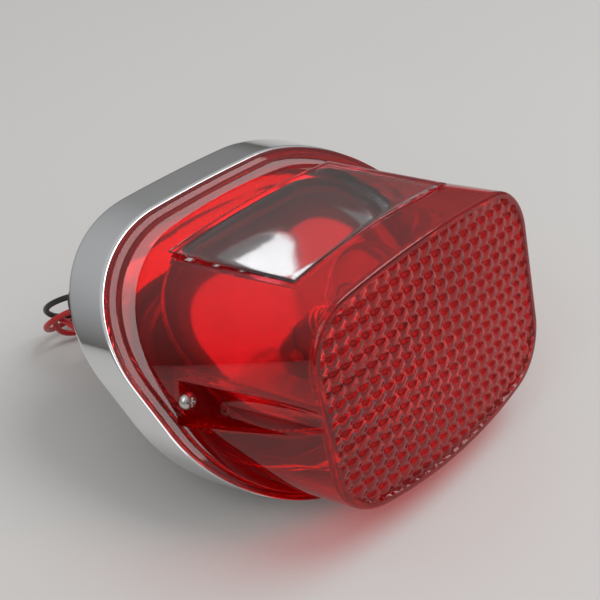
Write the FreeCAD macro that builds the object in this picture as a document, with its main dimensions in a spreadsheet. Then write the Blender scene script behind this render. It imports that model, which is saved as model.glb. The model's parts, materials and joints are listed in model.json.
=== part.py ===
import FreeCAD, Part
import math
import os

from FreeCAD import Placement, Rotation, Vector

# Motorcycle tail light. Lengths are millimetres, angles are degrees.
#
# Lens frame: origin at the middle of the lens face, +X right, +Y back into the light, +Z up the face.
# Base frame: its XZ plane is the slanted plane where the lens flange meets the chrome housing,
# and its +Y points out of the back of the housing.
# Everything is built in one of these two frames. place_all then leans the light back
# to how it stands on a table and puts the middle of its footprint at the origin.

SIZES = {
    # lens face outline: top and bottom edges are shallow arcs, corners are rounded
    "face_half_width": 48.0, "face_top": 35.6, "face_top_arc": 250.0, "face_top_corner": 17.0,
    "face_bottom": 35.0, "face_bottom_arc": 165.0, "face_bottom_corner": 18.0,
    "face_bulge_radius": 640.0,
    # outline that the lens walls open out to, this far behind the face
    "rear_depth": 100.0, "rear_half_width": 73.0, "rear_top": 38.8, "rear_top_arc": 400.0,
    "rear_top_corner": 57.0, "rear_bottom": 38.0, "rear_bottom_arc": 150.0, "rear_bottom_corner": 44.0,
    "lens_wall": 2.8, "face_wall": 3.2,
    # waffle pattern on the face
    "waffle_pitch": 4.5, "waffle_groove_width": 0.5, "waffle_groove_depth": 0.4, "waffle_border": 2.2,
    # flange outline, in the base plane
    "flange_half_width": 64.0, "flange_top": 56.0, "flange_top_arc": 600.0, "flange_top_corner": 44.0,
    "flange_bottom": 50.2, "flange_bottom_arc": 95.0, "flange_bottom_corner": 42.0,
    "lip_over": 0.4, "lip_gap": 0.15, "flange_inset": 1.0, "flange_front": 2.4, "flange_back": 1.0,
    "step_inset": 3.0, "step_front": 4.4,
    "base_plane_y": 48.9, "base_slope": 42.0,
    # clear window in the top of the lens
    "window_front_y": 17.9, "window_back_y": 66.0, "window_front_half": 33.4, "window_back_half": 35.0,
    "window_gap": 0.15, "window_rise": 0.8, "window_bevel": 0.5,
    # lens screws, the tapering channels that lead to them and the bosses behind them
    "screw_x": 57.0, "screw_z": 4.2, "seat_y": 45.5, "seat_wall": 3.0,
    "channel_radius": 7.0, "channel_front_radius": 5.2, "channel_front_x": 52.6, "channel_wall": 2.0,
    "lens_boss_radius": 5.2, "screw_radius": 1.5, "screw_length": 18.0, "screw_hole_radius": 1.7,
    "screw_head_radius": 2.8, "screw_head_height": 2.2, "screw_head_gap": 0.1, "recess_depth": 1.2,
    "housing_boss_radius": 4.2, "housing_boss_hole": 1.6,
    # chrome housing: a flared rim with a closed back
    "rim_over": 0.9, "rim_flare": 1.3, "rim_depth": 13.7, "rim_wall": 1.5, "back_wall": 1.5,
    "ledge_front": 2.7, "ledge_back": 4.2, "ledge_inset": 6.0,
    "gasket_front": 1.1, "gasket_back": 2.5, "gasket_outer_inset": 1.2, "gasket_inner_inset": 5.4,
    "pad_gap": 0.2, "pad_thickness": 2.0, "pad_inset": 2.5,
    # studs
    "stud_spread": 28.0, "stud_height": -15.0, "stud_radius": 3.0, "stud_length": 15.2,
    "stud_head_radius": 6.0, "stud_head_height": 2.0, "stud_hole_radius": 3.3,
    "stud_shoulder_radius": 3.2,
    # bulb socket, on an axis square to the base plane
    "socket_height": -6.0, "socket_outer": 8.7, "socket_inner": 7.85, "socket_front": -6.0,
    "socket_end": 16.5, "socket_floor": 1.0, "socket_floor_hole": 4.6,
    "socket_flange_radius": 13.5, "socket_flange_front": 7.2, "socket_flange_back": 8.2,
    "socket_wall_hole": 9.0, "slot_width": 2.5, "slot_entry": 15.0,
    "rivet_spread": 11.3, "rivet_radius": 1.2, "rivet_head_radius": 2.0, "rivet_head_height": 0.9,
    "dish_flat_front": 5.0, "dish_flat_inset": 32.0, "dish_wall": 0.9, "dish_hole": 9.1,
    "dish_middle_y": 3.4, "dish_middle_inset": 24.5, "dish_upper_y": 0.2, "dish_upper_inset": 19.5,
    "dish_rim_y": -3.6, "dish_rim_inset": 17.5,
    # plunger, its contacts and its spring
    "plunger_front": 7.2, "plunger_thickness": 2.6, "plunger_radius": 7.5,
    "contact_radius": 1.5, "contact_spread": 2.6, "contact_rise": 0.4,
    "spring_front": 9.9, "spring_back": 15.4, "spring_coil_radius": 5.9, "spring_wire_radius": 0.4,
    "spring_turns": 4.0, "push": 2.2,
    # bulb
    "bulb_end": 6.0, "bulb_base_front": -8.0, "bulb_base_radius": 7.55, "bulb_base_wall": 0.5,
    "bulb_pin_y": -1.0, "bulb_pin_radius": 0.9, "bulb_pin_reach": 9.2,
    "bulb_pad_radius": 1.4, "bulb_pad_height": 0.7,
    "glass_neck_radius": 6.7, "glass_ball_radius": 12.5, "glass_ball_y": -28.5, "glass_wall": 0.8,
    "stem_radius": 3.6, "stem_front": -16.0,
    "filament_radius": 0.35, "support_radius": 0.3,
    "brake_filament_y": -29.0, "tail_filament_y": -25.0, "filament_half": 2.6,
    # leads
    "lead_radius": 1.0, "lead_spread": 1.6, "grommet_radius": 4.4, "grommet_groove": 0.5,
    "plug_radius": 2.0, "plug_length": 16.0, "lead_start": 13.4,
    # how the light stands
    "lean_back": 15.0,
}

PART_DIRECTORY = "parts"

doc = FreeCAD.newDocument("tail_light")
sheet = doc.addObject("Spreadsheet::Sheet", "Sizes")
for row, (alias, value) in enumerate(SIZES.items(), start=1):
    sheet.set("A%d" % row, alias)
    sheet.set("B%d" % row, repr(value))
    sheet.setAlias("B%d" % row, alias)
doc.recompute()

finished = []


def size(alias):
    """Value of one driving dimension, read from the sheet."""
    return float(sheet.get(alias))


BASE = Placement(Vector(0, size("base_plane_y"), 0), Rotation(Vector(1, 0, 0), -size("base_slope")))
ALONG_Y = Rotation(Vector(1, 0, 0), -90)


def base_axis(x, y, z):
    """Placement in the base frame whose local +Z points out of the back."""
    return BASE * Placement(Vector(x, y, z), ALONG_Y)


# ---------------------------------------------------------------- shared helpers

def finish_object(obj, label, placement):
    """Give a finished piece its name and place, and list it for export."""
    obj.Label = label
    obj.Placement = placement
    finished.append(obj)
    return obj


def feature(label, shape, placement=Placement()):
    """A piece whose shape is worked out from the sheet by this script."""
    obj = doc.addObject("Part::Feature", label)
    obj.Shape = shape
    return finish_object(obj, label, placement)


def primitive(kind, name, sizes, position=(0, 0, 0), rotation=Rotation()):
    """A Part primitive with each size bound to an expression."""
    obj = doc.addObject(kind, name)
    for prop, expression in sizes.items():
        obj.setExpression(prop, expression)
    obj.Placement = Placement(Vector(*position), rotation)
    return obj


def cylinder(name, radius, height, position=(0, 0, 0), rotation=Rotation()):
    return primitive("Part::Cylinder", name, {"Radius": radius, "Height": height}, position, rotation)


def fuse(name, *pieces):
    obj = doc.addObject("Part::MultiFuse", name)
    obj.Shapes = list(pieces)
    return obj


def cut(name, base, tool):
    obj = doc.addObject("Part::Cut", name)
    obj.Base = base
    obj.Tool = tool
    return obj


def outline(prefix, inset=0.0):
    """Closed outline in the XZ plane: two shallow arcs, two sides and four round corners.

    The inset moves every edge inwards by the same distance.
    """
    half = size(prefix + "_half_width")

    def upper_points(edge, arc, corner):
        centre_x = half - corner
        arc_centre = edge - arc
        centre_z = arc_centre + math.sqrt((arc - corner) ** 2 - centre_x ** 2)
        across = Vector(centre_x, 0, centre_z - arc_centre).normalize()
        middle = Vector(centre_x, 0, centre_z)
        side = middle + Vector(corner - inset, 0, 0)
        turn = middle + (across + Vector(1, 0, 0)).normalize() * (corner - inset)
        start = middle + across * (corner - inset)
        return side, turn, start, Vector(0, 0, edge - inset)

    top = upper_points(size(prefix + "_top"), size(prefix + "_top_arc"), size(prefix + "_top_corner"))
    low = upper_points(size(prefix + "_bottom"), size(prefix + "_bottom_arc"),
                       size(prefix + "_bottom_corner"))
    low = [Vector(p.x, 0, -p.z) for p in low]

    def left(point):
        return Vector(-point.x, 0, point.z)

    edges = [
        Part.Arc(left(top[2]), top[3], top[2]),
        Part.Arc(top[2], top[1], top[0]),
        Part.LineSegment(top[0], low[0]),
        Part.Arc(low[0], low[1], low[2]),
        Part.Arc(low[2], low[3], left(low[2])),
        Part.Arc(left(low[2]), left(low[1]), left(low[0])),
        Part.LineSegment(left(low[0]), left(top[0])),
        Part.Arc(left(top[0]), left(top[1]), left(top[2])),
    ]
    return Part.Wire([edge.toShape() for edge in edges])


def shifted(wire, y):
    moved = wire.copy()
    moved.translate(Vector(0, y, 0))
    return moved


def on_base(wire, y):
    """An outline laid in the base plane and moved back along the lens frame's Y."""
    moved = wire.copy()
    moved.Placement = Placement(Vector(0, y, 0), Rotation()) * BASE
    return moved


def loft(*wires):
    return Part.makeLoft(list(wires), True, True)


def flange_prism(inset, front, back):
    """Flange-shaped block that runs along the lens frame's Y between two slanted planes."""
    wire = outline("flange", inset)
    return loft(on_base(wire, front), on_base(wire, back))


def round_bar(radius, start, end):
    """Cylinder between two points."""
    return Part.makeCylinder(radius, (end - start).Length, start, end - start)


def before_plane(y):
    """Large block holding everything in front of the base plane moved back by y."""
    block = Part.makeBox(400, 300, 400, Vector(-200, -300, -200))
    block.Placement = Placement(Vector(0, y, 0), Rotation()) * BASE
    return block


# ---------------------------------------------------------------- lens and window

def lens_blank(inset, start):
    """Solid lens form without its hollow, inset from the outside by the wall."""
    front = shifted(outline("face", inset), start)
    rear = shifted(outline("rear", inset), size("rear_depth"))
    return loft(front, rear)


def face_drum(setback):
    """Large upright drum whose front bulges like the lens face."""
    radius = size("face_bulge_radius")
    return Part.makeCylinder(radius, 200, Vector(0, radius + setback, -100), Vector(0, 0, 1))


def channel(extra, front, back, side):
    """Tapering groove from the lens face back to a lens screw."""
    front_y = -2.0
    taper = (size("channel_radius") - size("channel_front_radius")) / (size("seat_y") - front_y)
    drift = (size("screw_x") - size("channel_front_x")) / (size("seat_y") - front_y)
    rings = []
    for y in (front, back):
        centre = Vector(side * (size("channel_front_x") + drift * (y - front_y)), y, size("screw_z"))
        radius = size("channel_front_radius") + taper * (y - front_y) + extra
        rings.append(Part.Wire([Part.makeCircle(radius, centre, Vector(0, 1, 0))]))
    return loft(*rings)


def window_prism(gap):
    """Upright block over the window's four-sided outline."""
    front = size("window_front_half") - gap
    back = size("window_back_half") - gap
    near = size("window_front_y") + gap
    far = size("window_back_y") - gap
    corners = [Vector(-front, near, 20), Vector(front, near, 20), Vector(back, far, 20), Vector(-back, far, 20)]
    face = Part.Face(Part.makePolygon(corners + corners[:1]))
    return face.extrude(Vector(0, 0, 40))


def waffle_grooves():
    """Shallow crossing grooves that split the face into square cushions."""
    pitch = size("waffle_pitch")
    width = size("waffle_groove_width")
    depth = size("waffle_groove_depth")
    half = size("face_half_width")
    drum = face_drum(depth)
    tools = []
    columns = int(half / pitch)
    for column in range(-columns, columns + 1):
        x = (column + 0.5) * pitch
        slab = Part.makeBox(width, 8, 100, Vector(x - width / 2, -5, -50))
        tools.append(slab.cut(drum))
    rows = int(size("face_top") / pitch)
    for line in range(-rows, rows + 1):
        z = (line + 0.5) * pitch
        slab = Part.makeBox(110, 8, width, Vector(-55, -5, z - width / 2))
        tools.append(slab.cut(drum))
    area = Part.Face(outline("face", size("waffle_border")))
    area.translate(Vector(0, -6, 0))
    field = area.extrude(Vector(0, 12, 0))
    return [tool.common(field) for tool in tools]


def make_lens():
    outer = lens_blank(0, 0).common(face_drum(0))
    inner = lens_blank(size("lens_wall"), size("face_wall"))
    inner = inner.common(face_drum(size("face_wall")))
    back = size("flange_back")
    front = before_plane(back)
    walls = outer.cut(inner)
    flange = flange_prism(size("flange_inset"), -size("flange_front"), back)
    lip = flange_prism(-size("lip_over"), -size("flange_front"), -size("lip_gap"))
    step = flange_prism(size("step_inset"), -size("step_front"), back)
    shell = walls.fuse([flange.cut(inner), lip.cut(inner), step.cut(inner)])
    seat = size("seat_y")
    for side in (-1, 1):
        groove = channel(0, -2.0, seat, side)
        lining = channel(size("channel_wall"), -2.0, seat + size("seat_wall"), side).common(outer)
        axis = Vector(side * size("screw_x"), 0, size("screw_z"))
        boss = round_bar(size("lens_boss_radius"), axis + Vector(0, seat, 0), axis + Vector(0, 90, 0))
        hole = round_bar(size("screw_hole_radius"), axis + Vector(0, 30, 0), axis + Vector(0, 95, 0))
        shell = shell.fuse([lining, boss]).cut(groove).cut(hole)
    shell = shell.common(front)
    shell = shell.cut(window_prism(0))
    shell = shell.cut(waffle_grooves())
    feature("tail_lens", shell.removeSplitter())


def make_window():
    inner = lens_blank(size("lens_wall"), size("face_wall"))
    outer = lens_blank(0, 0)
    outer.translate(Vector(0, 0, size("window_rise")))
    slab = outer.common(window_prism(size("window_gap"))).cut(inner)
    top = [edge for edge in slab.Edges if edge.BoundBox.ZMin > size("rear_top") - 3.2]
    feature("license_window", slab.makeChamfer(size("window_bevel"), top))


def make_gasket():
    outer = flange_prism(size("gasket_outer_inset"), size("gasket_front"), size("gasket_back"))
    inner = flange_prism(size("gasket_inner_inset"), size("gasket_front") - 1, size("gasket_back") + 1)
    ring = outer.cut(inner)
    for side in (-1, 1):
        axis = Vector(side * size("screw_x"), 0, size("screw_z"))
        radius = size("housing_boss_radius") + 0.3
        ring = ring.cut(round_bar(radius, axis, axis + Vector(0, 95, 0)))
    feature("lens_gasket", ring)


# ---------------------------------------------------------------- housing

def make_housing():
    over = size("rim_over")
    flare = size("rim_flare")
    depth = size("rim_depth")
    wall = size("rim_wall")
    floor_y = depth - size("back_wall") / math.cos(math.radians(size("base_slope")))
    outer = loft(on_base(outline("flange", -over), 0), on_base(outline("flange", -over - flare), depth))
    hollow = loft(on_base(outline("flange", wall - over), -0.001),
                  on_base(outline("flange", wall - over - flare), floor_y))
    ledge = flange_prism(-over / 2, size("ledge_front"), size("ledge_back"))
    opening = flange_prism(size("ledge_inset"), size("ledge_front") - 1, size("ledge_back") + 1)
    shell = outer.cut(hollow).fuse(ledge.cut(opening))
    for side in (-1, 1):
        axis = Vector(side * size("screw_x"), 0, size("screw_z"))
        boss = round_bar(size("housing_boss_radius"), axis, axis + Vector(0, 95, 0))
        slice_of_rim = flange_prism(0, size("flange_back") + 0.3, floor_y + 0.5)
        shell = shell.fuse(boss.common(slice_of_rim))
        tip = size("seat_y") + size("screw_length") + 0.6
        shell = shell.cut(round_bar(size("housing_boss_hole"), axis + Vector(0, 30, 0), axis + Vector(0, tip, 0)))
    local = shell.copy()
    local.Placement = BASE.inverse()
    through = Vector(0, 20, 0)
    low = Vector(0, -5, size("socket_height"))
    tools = [round_bar(size("socket_wall_hole"), low, low + through)]
    for side in (-1, 1):
        stud = Vector(side * size("stud_spread"), 2, size("stud_height"))
        tools.append(round_bar(size("stud_hole_radius"), stud, stud + through))
        rivet = Vector(side * size("rivet_spread"), 2, size("socket_height"))
        tools.append(round_bar(size("rivet_radius") + 0.1, rivet, rivet + through))
    feature("chrome_housing", local.cut(tools).removeSplitter(), BASE)


def make_pad():
    """Rubber pad on the back of the housing, in the base frame."""
    slope = math.radians(size("base_slope"))
    back = size("rim_depth") * math.cos(slope) + size("pad_gap")
    drop = size("rim_depth") * math.sin(slope)
    face = Part.Face(outline("flange", size("pad_inset") - size("rim_over") - size("rim_flare")))
    face.translate(Vector(0, back, drop))
    pad = face.extrude(Vector(0, size("pad_thickness"), 0))
    low = Vector(0, 0, size("socket_height"))
    tools = [round_bar(size("socket_wall_hole") + 5, low, low + Vector(0, 40, 0))]
    for side in (-1, 1):
        stud = Vector(side * size("stud_spread"), 0, size("stud_height"))
        tools.append(round_bar(size("stud_hole_radius"), stud, stud + Vector(0, 40, 0)))
    feature("mount_pad", pad.cut(tools), BASE)


def make_studs():
    """Two studs, each with a shoulder that fills its hole as far as the pad's back face."""
    studs = []
    wall_front = size("rim_depth") * math.cos(math.radians(size("base_slope"))) - size("back_wall")
    for side in (-1, 1):
        head_front = Vector(side * size("stud_spread"), wall_front - 0.1 - size("stud_head_height"),
                            size("stud_height"))
        head_back = head_front + Vector(0, size("stud_head_height"), 0)
        seat = head_back + Vector(0, size("back_wall") + 0.3 + size("pad_thickness"), 0)
        tip = seat + Vector(0, size("stud_length"), 0)
        head = round_bar(size("stud_head_radius"), head_front, head_back)
        shoulder = round_bar(size("stud_shoulder_radius"), head_back, seat)
        shank = round_bar(size("stud_radius"), seat, tip)
        stud = head.fuse([shoulder, shank]).removeSplitter()
        tip_edges = [e for e in stud.Edges if e.BoundBox.YMin > tip.y - 0.01]
        studs.append(stud.makeChamfer(0.6, tip_edges))
    feature("mount_studs", Part.makeCompound(studs), BASE)


# ---------------------------------------------------------------- screws

def make_screws():
    """Pan-head cross-recess screws, built with local +Z towards the tip."""
    for side, label in ((-1, "lens_screw_left"), (1, "lens_screw_right")):
        head = cylinder(label + "_head", "Sizes.screw_head_radius", "Sizes.screw_head_height")
        shank = cylinder(label + "_shank", "Sizes.screw_radius", "Sizes.screw_length",
                         (0, 0, size("screw_head_height")))
        blank = fuse(label + "_blank", head, shank)
        slots = []
        for name, length, width in (("a", 3.2, 0.7), ("b", 0.7, 3.2)):
            slot = primitive("Part::Box", label + "_slot_" + name, {"Height": "Sizes.recess_depth + 1"},
                             (-length / 2, -width / 2, -1))
            slot.Length = length
            slot.Width = width
            slots.append(slot)
        screw = cut(label, blank, fuse(label + "_recess", *slots))
        start = size("seat_y") - size("screw_head_gap") - size("screw_head_height")
        finish_object(screw, label, Placement(Vector(side * size("screw_x"), start, size("screw_z")), ALONG_Y))


# ---------------------------------------------------------------- socket

def make_socket():
    """Bayonet socket, built on its own axis with local +Z out of the back."""
    start = size("socket_front")
    outer = cylinder("socket_outer_wall", "Sizes.socket_outer", "Sizes.socket_end - Sizes.socket_front")
    flange = cylinder("socket_flange", "Sizes.socket_flange_radius",
                      "Sizes.socket_flange_back - Sizes.socket_flange_front",
                      (0, 0, size("socket_flange_front") - start))
    bore = cylinder("socket_bore", "Sizes.socket_inner",
                    "Sizes.socket_end - Sizes.socket_front - Sizes.socket_floor + 1", (0, 0, -1))
    outlet = cylinder("socket_outlet", "Sizes.socket_floor_hole", "Sizes.socket_end - Sizes.socket_front + 2",
                      (0, 0, -1))
    tools = [bore, outlet]
    for side in (-1, 1):
        tools.append(cylinder("rivet_hole", "Sizes.rivet_radius + 0.1", "60",
                              (side * size("rivet_spread"), 0, -10)))
        deep = size("bulb_pin_y") + size("push") + size("slot_width") / 2 + 0.1 - start
        entry = primitive("Part::Box", "slot_entry", {"Length": "Sizes.slot_width", "Width": "12"},
                          (0, 0, 0))
        entry.Height = deep + 1
        turn = Rotation(Vector(0, 0, 1), 90 * (1 - side) + size("slot_entry"))
        entry.Placement = Placement(Vector(0, 0, -1), turn) * Placement(
            Vector(-size("slot_width") / 2, 0, 0), Rotation())
        tools.append(entry)
        hook = primitive("Part::Box", "slot_hook", {"Width": "12"})
        hook.Length = 2 * size("slot_width")
        hook.Height = size("slot_width") + size("push")
        hook.Placement = Placement(Vector(0, 0, deep - size("slot_width") - size("push")),
                                   Rotation(Vector(0, 0, 1), 90 * (1 - side))) * Placement(
            Vector(-size("slot_width") * 1.4, 0, 0), Rotation())
        tools.append(hook)
    shell = cut("socket_shell", fuse("socket_blank", outer, flange), fuse("socket_tools", *tools))
    finish_object(shell, "socket_shell", base_axis(0, start, size("socket_height")))


def make_rivets():
    rivets = []
    front = size("dish_flat_front") - 0.1 - size("rivet_head_height")
    back = size("rim_depth") * math.cos(math.radians(size("base_slope"))) + 0.1
    for side in (-1, 1):
        start = Vector(side * size("rivet_spread"), front, size("socket_height"))
        neck = start + Vector(0, size("rivet_head_height"), 0)
        tail = Vector(start.x, back, start.z)
        end = tail + Vector(0, size("rivet_head_height"), 0)
        rivet = round_bar(size("rivet_head_radius"), start, neck)
        rivet = rivet.fuse([round_bar(size("rivet_radius"), neck, tail),
                            round_bar(size("rivet_head_radius"), tail, end)])
        rivets.append(rivet.removeSplitter())
    feature("socket_rivets", Part.makeCompound(rivets), BASE)


def make_dish():
    """Plated bowl behind the bulb: three sloping bands round a flat floor, in the base frame."""
    levels = [(size("dish_%s_inset" % name), size(key)) for name, key in (
        ("flat", "dish_flat_front"), ("middle", "dish_middle_y"), ("upper", "dish_upper_y"),
        ("rim", "dish_rim_y"))]

    def bowl(lower, front):
        rings = [shifted(outline("flange", inset), y + lower) for inset, y in levels]
        if front:
            rings.append(shifted(outline("flange", levels[-1][0]), levels[-1][1] - 3))
        return loft(*rings)

    dish = bowl(size("dish_wall"), False).cut(bowl(0, True))
    low = Vector(0, -20, size("socket_height"))
    tools = [round_bar(size("dish_hole"), low, low + Vector(0, 60, 0))]
    for side in (-1, 1):
        rivet = low + Vector(side * size("rivet_spread"), 0, 0)
        tools.append(round_bar(size("rivet_radius") + 0.1, rivet, rivet + Vector(0, 60, 0)))
    feature("reflector_dish", dish.cut(tools).removeSplitter(), BASE)


def make_plunger():
    disc = cylinder("plunger_disc", "Sizes.plunger_radius", "Sizes.plunger_thickness")
    holes = fuse("plunger_holes", *[
        cylinder("plunger_hole", "Sizes.contact_radius + 0.05", "Sizes.plunger_thickness + 2",
                 (0, side * size("contact_spread"), -1)) for side in (-1, 1)])
    plunger = cut("contact_plunger", disc, holes)
    place = base_axis(0, size("plunger_front"), size("socket_height"))
    finish_object(plunger, "contact_plunger", place)
    studs = fuse("socket_contacts", *[
        cylinder("contact", "Sizes.contact_radius", "Sizes.plunger_thickness + Sizes.contact_rise",
                 (0, side * size("contact_spread"), -size("contact_rise"))) for side in (-1, 1)])
    finish_object(studs, "socket_contacts", place)


def make_spring():
    wire = size("spring_wire_radius")
    length = size("spring_back") - size("spring_front") - 2 * wire
    radius = size("spring_coil_radius")
    turns = size("spring_turns")
    helix = Part.makeLongHelix(length / turns, length, radius)
    along = Vector(0, 2 * math.pi * radius, length / turns)
    ring = Part.Wire([Part.makeCircle(wire, Vector(radius, 0, 0), along)])
    coil = Part.Wire(helix).makePipeShell([ring], True, True)
    place = base_axis(0, size("spring_front") + wire, size("socket_height"))
    feature("contact_spring", coil, place)


# ---------------------------------------------------------------- bulb

def make_bulb():
    """Double-filament bayonet bulb, built about the Y axis."""
    place = BASE * Placement(Vector(0, 0, size("socket_height")), Rotation())
    axis = Vector(0, 1, 0)

    def turned(points):
        corners = [Vector(radius, y, 0) for radius, y in points]
        return Part.Face(Part.makePolygon(corners + corners[:1])).revolve(Vector(0, 0, 0), axis, 360)

    front = size("bulb_base_front")
    end = size("bulb_end")
    radius = size("bulb_base_radius")
    wall = size("bulb_base_wall")
    cap = turned([(radius - wall, front), (radius, front), (radius, end - 1), (radius - 1, end),
                  (4.2, end), (4.2, end - wall), (radius - 1.2, end - wall), (radius - wall, end - 1.2)])
    pins = []
    for side in (-1, 1):
        root = Vector(0, size("bulb_pin_y"), side * (radius - wall))
        tip = Vector(0, size("bulb_pin_y"), side * size("bulb_pin_reach"))
        pins.append(round_bar(size("bulb_pin_radius"), root, tip))
    feature("bulb_base", cap.fuse(pins).removeSplitter(), place)

    feature("bulb_insulator", turned([(0, end - 2.2), (4.1, end - 2.2), (4.1, end - 0.1), (0, end - 0.1)]), place)

    pads = []
    for side in (-1, 1):
        start = Vector(side * size("contact_spread") * 0, end - 0.05, side * size("contact_spread"))
        pads.append(round_bar(size("bulb_pad_radius"), start, start + Vector(0, size("bulb_pad_height"), 0)))
    feature("bulb_contact_pads", Part.makeCompound(pads), place)

    feature("bulb_glass", glass_shell(), place)

    stem_front = size("stem_front")
    stem = turned([(0, stem_front), (1.6, stem_front), (size("stem_radius"), stem_front + 6),
                   (size("stem_radius"), end - 2.4), (0, end - 2.4)])
    feature("bulb_stem", stem, place)

    supports = []
    filaments = []
    half = size("filament_half")
    for y, z in ((size("brake_filament_y"), 1.6), (size("tail_filament_y"), -1.6)):
        filaments.append(round_bar(size("filament_radius"), Vector(-half + 0.65, y, z), Vector(half - 0.65, y, z)))
        for side in (-1, 1):
            post = round_bar(size("support_radius"), Vector(side * half, y - 0.9, z),
                             Vector(side * 1.2, stem_front - 0.05, z * 0.4))
            supports.append(post)
    feature("bulb_filaments", Part.makeCompound(filaments), place)
    feature("bulb_filament_supports", Part.makeCompound(supports), place)


def glass_shell():
    """Hollow glass: a neck that opens into a ball, drawn as one turned profile."""
    neck = size("glass_neck_radius")
    ball = size("glass_ball_radius")
    centre = size("glass_ball_y")
    wall = size("glass_wall")
    mouth = size("bulb_base_front") + 2.0

    def skin(inset, stop):
        reach = ball - inset
        join_y = centre + math.sqrt(reach ** 2 - (neck - inset) ** 2)
        mid = Vector(reach, centre, 0)
        arc = Part.Arc(Vector(0, centre - reach, 0), mid, Vector(neck - inset, join_y, 0))
        side = Part.LineSegment(Vector(neck - inset, join_y, 0), Vector(neck - inset, stop, 0))
        close = Part.LineSegment(Vector(neck - inset, stop, 0), Vector(0, stop, 0))
        shut = Part.LineSegment(Vector(0, stop, 0), Vector(0, centre - reach, 0))
        wire = Part.Wire([edge.toShape() for edge in (arc, side, close, shut)])
        return Part.Face(wire).revolve(Vector(0, 0, 0), Vector(0, 1, 0), 360)

    return skin(0, mouth).cut(skin(wall, mouth + 0.5))


# ---------------------------------------------------------------- leads

# Each lead is drawn as straight runs between these points of the base frame's leaned-back,
# table-standing view: X right, Y back, Z above the table, measured from the point on the
# table under the lens frame's origin.
LEAD_ROUTES = {
    "red_lead": [(-19, 73, 4), (-31, 95, 3), (-38, 114, 13), (-40, 130, 16), (-37, 132, 3),
                 (-24, 127, 2), (-15, 112.5, 2), (-25, 107, 17), (-35.5, 119, 22), (-45, 129, 13.5),
                 (-37, 136.5, 2.5), (-14, 138, 3), (8, 133, 2.5)],
    "black_lead": [(-10, 76, 4), (-24, 98, 12.5), (-33, 118.5, 27), (-42, 134, 17), (-33, 137, 5.5),
                   (-19, 130.5, 6.5), (-6, 116, 10), (-19, 103, 26.5), (-34, 120.5, 33),
                   (-41, 119.5, 23), (-32.5, 116.5, 8), (-12.5, 117, 5.5), (8, 115, 4)],
}


def rounded_path(points):
    """Straight runs joined by tangent arcs, as one wire."""
    edges = []
    here = points[0]
    for before, corner, after in zip(points, points[1:], points[2:]):
        back = (before - corner)
        ahead = (after - corner)
        half_turn = (math.pi - back.getAngle(ahead)) / 2
        radius = 0.45 * min(back.Length, ahead.Length) / math.tan(half_turn)
        reach = radius * math.tan(half_turn)
        back.normalize()
        ahead.normalize()
        start = corner + back * reach
        end = corner + ahead * reach
        middle_way = (back + ahead).normalize()
        middle = corner + middle_way * (radius / math.cos(half_turn) - radius)
        edges.append(Part.LineSegment(here, start).toShape())
        edges.append(Part.Arc(start, middle, end).toShape())
        here = end
        print("  turn %.0f deg, radius %.1f mm" % (math.degrees(2 * half_turn), radius))
    edges.append(Part.LineSegment(here, points[-1]).toShape())
    return Part.Wire(edges)


def make_leads(stand):
    radius = size("lead_radius")
    for side, label in ((-1, "red_lead"), (1, "black_lead")):
        exit_axis = stand * BASE
        start = exit_axis.multVec(Vector(side * size("lead_spread"), size("lead_start"), size("socket_height")))
        outside = exit_axis.multVec(Vector(side * size("lead_spread"), 26.0, size("socket_height")))
        print(label)
        table = [Vector(*point) for point in LEAD_ROUTES[label]]
        route = rounded_path([start, outside] + table)
        ring = Part.Wire([Part.makeCircle(radius, start, outside - start)])
        tube = route.makePipeShell([ring], True, True)
        expected = math.pi * radius ** 2 * route.Length
        print("  length %.1f mm, volume %.1f mm3, section x length %.1f mm3" % (
            route.Length, tube.Volume, expected))
        feature(label, tube, Placement())
        tip = table[-1]
        ahead = (tip - table[-2]).normalize()
        plug = round_bar(size("plug_radius") - 0.4, tip + ahead * 0.05, tip + ahead * size("plug_length"))
        sleeve = round_bar(size("plug_radius"), tip + ahead * 4, tip + ahead * (size("plug_length") - 5))
        feature(label.replace("lead", "bullet_plug"), plug.fuse(sleeve).removeSplitter(), Placement())


def make_grommet():
    """Rubber grommet in the floor of the socket, round both leads."""
    start = size("socket_end") - size("socket_floor") - 0.9
    length = size("socket_floor") + 2.6
    body = cylinder("grommet_body", "Sizes.socket_floor_hole - 0.1", str(length))
    collar = cylinder("grommet_collar", "Sizes.socket_floor_hole + 1.4", "1.4", (0, 0, length - 1.4))
    bores = fuse("grommet_bores", *[
        cylinder("grommet_bore", "Sizes.lead_radius + 0.03", "10", (side * size("lead_spread"), 0, -2))
        for side in (-1, 1)])
    grommet = cut("lead_grommet", fuse("grommet_blank", body, collar), bores)
    finish_object(grommet, "lead_grommet", base_axis(0, start, size("socket_height")))


# ---------------------------------------------------------------- assembly

CORD_LABELS = ("red_lead", "black_lead", "red_bullet_plug", "black_bullet_plug")


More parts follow.
